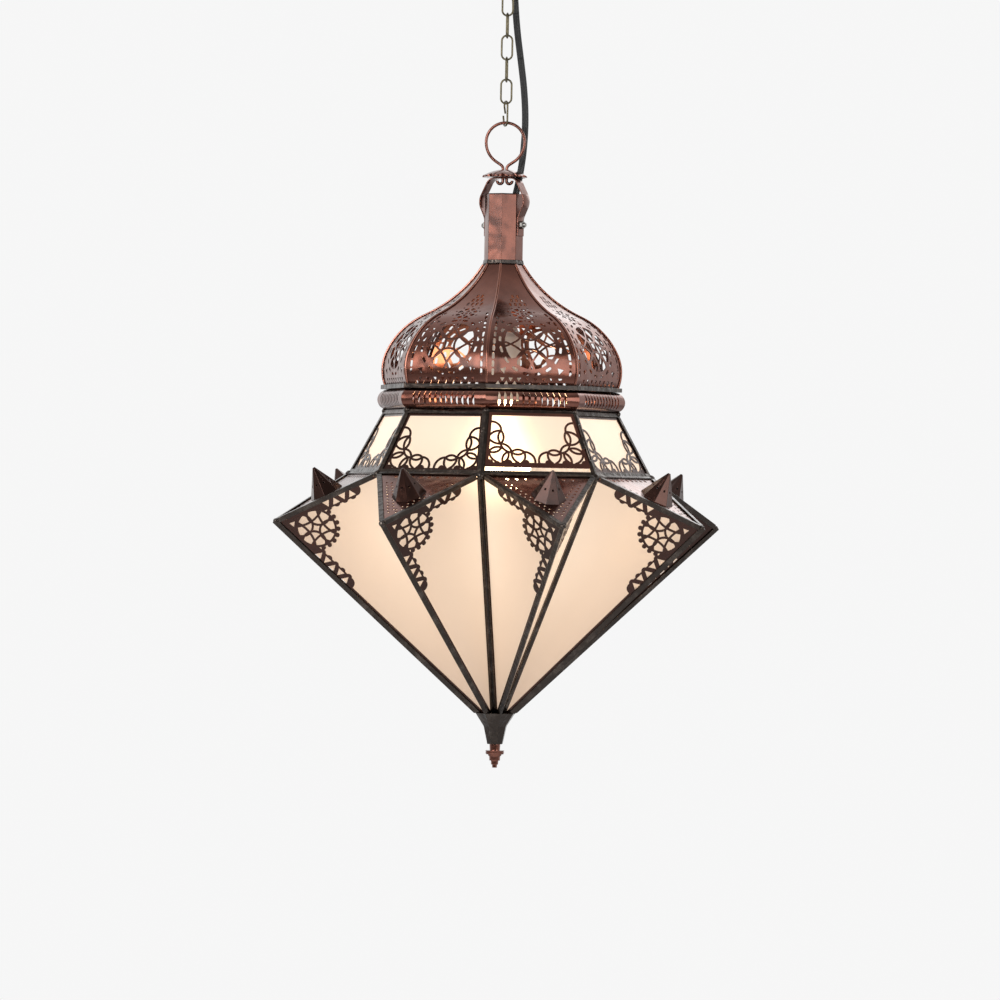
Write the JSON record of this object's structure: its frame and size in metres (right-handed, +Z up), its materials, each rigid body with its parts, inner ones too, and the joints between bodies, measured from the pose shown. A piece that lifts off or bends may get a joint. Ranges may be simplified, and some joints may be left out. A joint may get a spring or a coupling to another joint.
{
  "type": "pendant lamp",
  "caption": "Hanging lantern with a pierced onion dome, frosted panes and a star-shaped lower part, on a chain with a twin flex from a ceiling canopy; one upper panel opens as a door.",
  "frame": {"origin": "centre of the ceiling plate's upper face, where it meets the ceiling", "axes": "+Z up towards the ceiling, -Y towards the viewer, +X to the viewer's right"},
  "size_m": [0.4076, 0.4076, 0.8105],
  "materials": {
    "copper": "aged copper sheet, dark red-brown, softly beaten",
    "solder": "dark grey soldered strip",
    "frosted_glass": "frosted, lit from inside",
    "chain_brass": "antique brass",
    "steel": "plain steel",
    "holder_plastic": "moulded, matt",
    "bulb_glass": "opal, lit",
    "cord_rubber": "black twin flex"
  },
  "bodies": {
    "ceiling_fitting": {"ceiling_plate": "steel", "ceiling_canopy": "chain_brass", "ceiling_hook": "chain_brass", "hook_nut": "chain_brass", "canopy_cord_grip": "holder_plastic", "terminal_block": "holder_plastic", "supply_cord_1": "cord_rubber"},
    "top_link": {"chain_link_1": "chain_brass", "supply_cord_2": "cord_rubber"},
    "chain": {"chain_link_2": "chain_brass", "chain_link_3": "chain_brass", "chain_link_4": "chain_brass", "chain_link_5": "chain_brass", "chain_link_6": "chain_brass", "supply_cord_3": "cord_rubber"},
    "ring": {"hanging_ring": "copper", "supply_cord_4": "cord_rubber"},
    "door": {"door_leaf": "copper", "door_pane": "frosted_glass", "door_knuckle": "solder"},
    "lantern": {"cap_rosette": "copper", "bail_strap": "copper", "neck_tube": "copper", "upper_tracery": "copper", "star_plates": "copper", "cone_studs": "copper", "star_tracery": "copper", "roll_moulding": "copper", "collector_cone": "copper", "finial": "copper", "dome_seams": "copper", "dome_gore_1": "copper", "dome_gore_2": "copper", "dome_gore_3": "copper", "dome_gore_4": "copper", "dome_gore_5": "copper", "dome_gore_6": "copper", "dome_gore_7": "copper", "dome_gore_8": "copper", "neck_collar": "solder", "dome_base_band": "solder", "eave_rail": "solder", "upper_ribs": "solder", "ledge_rail": "solder", "ridge_ribs": "solder", "valley_ribs": "solder", "rim_cames": "solder", "hinge_knuckles": "solder", "upper_panes": "frosted_glass", "star_panes": "frosted_glass", "bail_bolts": "steel", "bail_nuts": "steel", "hinge_pin": "steel", "holder_bar": "steel", "holder_nipple": "steel", "bulb_cap": "steel", "lampholder": "holder_plastic", "bulb_glass": "bulb_glass", "inner_cord": "cord_rubber"}
  },
  "joints": [
    {"name": "top_link_swing", "type": "hinge", "parent": "ceiling_fitting", "child": "top_link", "pos_m": [0, 0, -0.0754], "axis": [0, 1, 0], "range_deg": [-20, 20], "deforming": ["supply_cord_1"]},
    {"name": "chain_swing", "type": "hinge", "parent": "top_link", "child": "chain", "pos_m": [0, 0, -0.0954], "axis": [1, 0, 0], "range_deg": [-20, 20], "deforming": ["supply_cord_2"]},
    {"name": "ring_swing", "type": "hinge", "parent": "chain", "child": "ring", "pos_m": [0, 0, -0.1999], "axis": [0, 1, 0], "range_deg": [-20, 20], "deforming": ["supply_cord_3"]},
    {"name": "lantern_swivel", "type": "hinge", "parent": "ring", "child": "lantern", "pos_m": [0, 0, -0.24935], "axis": [0, 0, 1], "range_deg": [-30, 30], "deforming": ["supply_cord_4"]},
    {"name": "door_hinge", "type": "hinge", "parent": "lantern", "child": "door", "pos_m": [0.09066, -0.09281, -0.50162], "axis": [-0.3399, 0.3399, 0.8769], "range_deg": [0, 100]}
  ]
}
